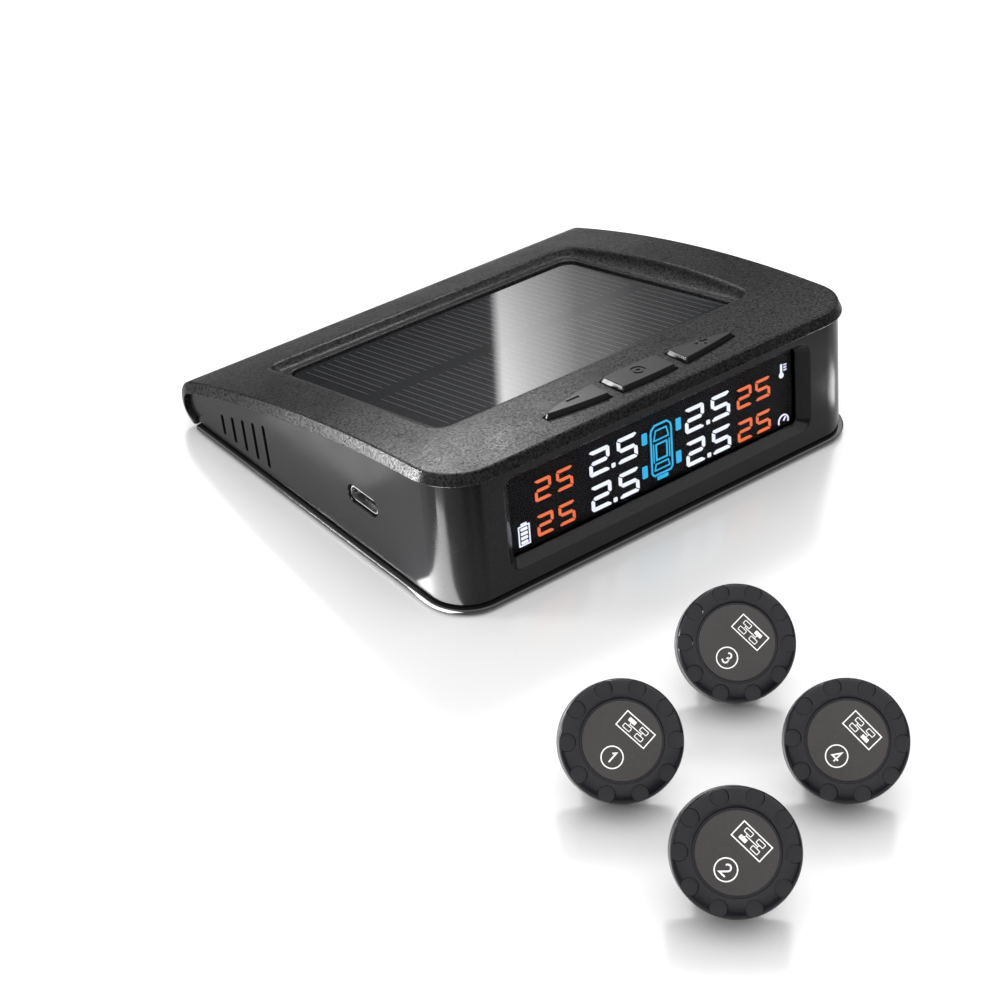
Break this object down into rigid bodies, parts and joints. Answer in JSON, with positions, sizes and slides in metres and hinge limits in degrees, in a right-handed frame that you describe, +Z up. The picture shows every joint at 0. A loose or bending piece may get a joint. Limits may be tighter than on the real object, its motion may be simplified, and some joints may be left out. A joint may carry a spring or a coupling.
{
  "type": "tire pressure monitor",
  "caption": "Wedge-shaped solar dashboard display with a lit screen, push buttons and a charging socket, and a set of screw-on wheel valve pressure sensors.",
  "frame": {"origin": "centre of the underside of the non-slip pad that the display unit rests on", "axes": "+Z up from the table, -Y the way the screen faces, +X to the right of a person reading the screen"},
  "size_m": [0.1101, 0.1605, 0.0263],
  "materials": {
    "cover_texture": "fine spark-eroded grain",
    "housing_black": "satin gloss",
    "base_black": "satin gloss",
    "pad_rubber": "matt, finely ribbed",
    "panel_glass": "polished",
    "solar_cell": "dark silicon with silver fingers",
    "smoked_window": "polished, smoked",
    "screen_glass": "black screen with lit figures",
    "white_plastic": "moulded",
    "circuit_board": "green solder mask",
    "battery_foil": "matt foil",
    "red_wire": "smooth insulation",
    "bright_steel": "plated",
    "black_plastic": "moulded",
    "copper_wire": "enamelled",
    "button_black": "smooth satin",
    "switch_plunger": "moulded",
    "screw_steel": "blackened",
    "sensor_black": "satin",
    "valve_brass": "machined",
    "seal_rubber": "moulded",
    "coin_steel": "plated"
  },
  "bodies": {
    "display_unit": {"top_cover": "cover_texture", "main_housing": "housing_black", "base_plate": "base_black", "non_slip_pad": "pad_rubber", "solar_glass": "panel_glass", "solar_cells_front": "solar_cell", "solar_cells_rear": "solar_cell", "solar_board": "circuit_board", "display_window": "smoked_window", "lcd_panel": "screen_glass", "backlight": "white_plastic", "main_board": "circuit_board", "battery": "battery_foil", "battery_lead": "red_wire", "usb_shell": "bright_steel", "usb_tongue": "black_plastic", "buzzer": "black_plastic", "antenna_coil": "copper_wire", "switch_down": "black_plastic", "switch_set": "black_plastic", "switch_up": "black_plastic", "screw_rear_left": "screw_steel", "screw_front_left": "screw_steel", "screw_rear_right": "screw_steel", "screw_front_right": "screw_steel", "button_board": "circuit_board"},
    "button_down_key": {"button_down": "button_black", "plunger_down": "switch_plunger"},
    "button_set_key": {"button_set": "button_black", "plunger_set": "switch_plunger"},
    "button_up_key": {"button_up": "button_black", "plunger_up": "switch_plunger"},
    "sensor_1": {"sensor_1_base": "sensor_black", "sensor_1_valve_insert": "valve_brass", "sensor_1_valve_seal": "seal_rubber", "sensor_1_circuit": "circuit_board", "sensor_1_coin_cell": "coin_steel"},
    "sensor_1_seal": {"sensor_1_cap_seal": "seal_rubber"},
    "sensor_1_lid": {"sensor_1_cap": "sensor_black"},
    "sensor_2": {"sensor_2_base": "sensor_black", "sensor_2_valve_insert": "valve_brass", "sensor_2_valve_seal": "seal_rubber", "sensor_2_circuit": "circuit_board", "sensor_2_coin_cell": "coin_steel"},
    "sensor_2_seal": {"sensor_2_cap_seal": "seal_rubber"},
    "sensor_2_lid": {"sensor_2_cap": "sensor_black"},
    "sensor_3": {"sensor_3_base": "sensor_black", "sensor_3_valve_insert": "valve_brass", "sensor_3_valve_seal": "seal_rubber", "sensor_3_circuit": "circuit_board", "sensor_3_coin_cell": "coin_steel"},
    "sensor_3_seal": {"sensor_3_cap_seal": "seal_rubber"},
    "sensor_3_lid": {"sensor_3_cap": "sensor_black"},
    "sensor_4": {"sensor_4_base": "sensor_black", "sensor_4_valve_insert": "valve_brass", "sensor_4_valve_seal": "seal_rubber", "sensor_4_circuit": "circuit_board", "sensor_4_coin_cell": "coin_steel"},
    "sensor_4_seal": {"sensor_4_cap_seal": "seal_rubber"},
    "sensor_4_lid": {"sensor_4_cap": "sensor_black"}
  },
  "joints": [
    {"name": "press_down", "type": "slide", "parent": "display_unit", "child": "button_down_key", "axis": [0, 0, -1], "range_m": [0, 0.0005], "stiffness_N_per_m": 600, "springref_m": -0.0008},
    {"name": "press_set", "type": "slide", "parent": "display_unit", "child": "button_set_key", "axis": [0, 0, -1], "range_m": [0, 0.0005], "stiffness_N_per_m": 600, "springref_m": -0.0008},
    {"name": "press_up", "type": "slide", "parent": "display_unit", "child": "button_up_key", "axis": [0, 0, -1], "range_m": [0, 0.0005], "stiffness_N_per_m": 600, "springref_m": -0.0008},
    {"name": "sensor_1_lift", "type": "slide", "parent": "display_unit", "child": "sensor_1", "axis": [0, 0, 1], "range_m": [0, 0.05]},
    {"name": "sensor_1_cap_lift", "type": "slide", "parent": "sensor_1", "child": "sensor_1_seal", "axis": [-0.461, -0.6118, 0.6428], "range_m": [0, 0.0025]},
    {"name": "sensor_1_cap_turn", "type": "hinge", "parent": "sensor_1_seal", "child": "sensor_1_lid", "pos_m": [-0.0499, -0.0824, 0.00689], "axis": [-0.461, -0.6118, 0.6428], "range_deg": [0, 900]},
    {"name": "sensor_2_lift", "type": "slide", "parent": "display_unit", "child": "sensor_2", "axis": [0, 0, 1], "range_m": [0, 0.05]},
    {"name": "sensor_2_cap_lift", "type": "slide", "parent": "sensor_2", "child": "sensor_2_seal", "axis": [-0.4995, -0.5808, 0.6428], "range_m": [0, 0.0025]},
    {"name": "sensor_2_cap_turn", "type": "hinge", "parent": "sensor_2_seal", "child": "sensor_2_lid", "pos_m": [-0.0531, -0.1098, 0.00689], "axis": [-0.4995, -0.5808, 0.6428], "range_deg": [0, 900]},
    {"name": "sensor_3_lift", "type": "slide", "parent": "display_unit", "child": "sensor_3", "axis": [0, 0, 1], "range_m": [0, 0.05]},
    {"name": "sensor_3_cap_lift", "type": "slide", "parent": "sensor_3", "child": "sensor_3_seal", "axis": [-0.4944, -0.5851, 0.6428], "range_m": [0, 0.0025]},
    {"name": "sensor_3_cap_turn", "type": "hinge", "parent": "sensor_3_seal", "child": "sensor_3_lid", "pos_m": [-0.0212, -0.0765, 0.00689], "axis": [-0.4944, -0.5851, 0.6428], "range_deg": [0, 900]},
    {"name": "sensor_4_lift", "type": "slide", "parent": "display_unit", "child": "sensor_4", "axis": [0, 0, 1], "range_m": [0, 0.05]},
    {"name": "sensor_4_cap_lift", "type": "slide", "parent": "sensor_4", "child": "sensor_4_seal", "axis": [-0.5292, -0.5538, 0.6428], "range_m": [0, 0.0025]},
    {"name": "sensor_4_cap_turn", "type": "hinge", "parent": "sensor_4_seal", "child": "sensor_4_lid", "pos_m": [-0.0245, -0.1031, 0.00689], "axis": [-0.5292, -0.5538, 0.6428], "range_deg": [0, 900]}
  ],
  "couplings": [
    {"joint": "sensor_1_cap_turn", "follows": "sensor_1_cap_lift", "rad_per_m": 6283.2},
    {"joint": "sensor_2_cap_turn", "follows": "sensor_2_cap_lift", "rad_per_m": 6283.2},
    {"joint": "sensor_3_cap_turn", "follows": "sensor_3_cap_lift", "rad_per_m": 6283.2},
    {"joint": "sensor_4_cap_turn", "follows": "sensor_4_cap_lift", "rad_per_m": 6283.2}
  ]
}
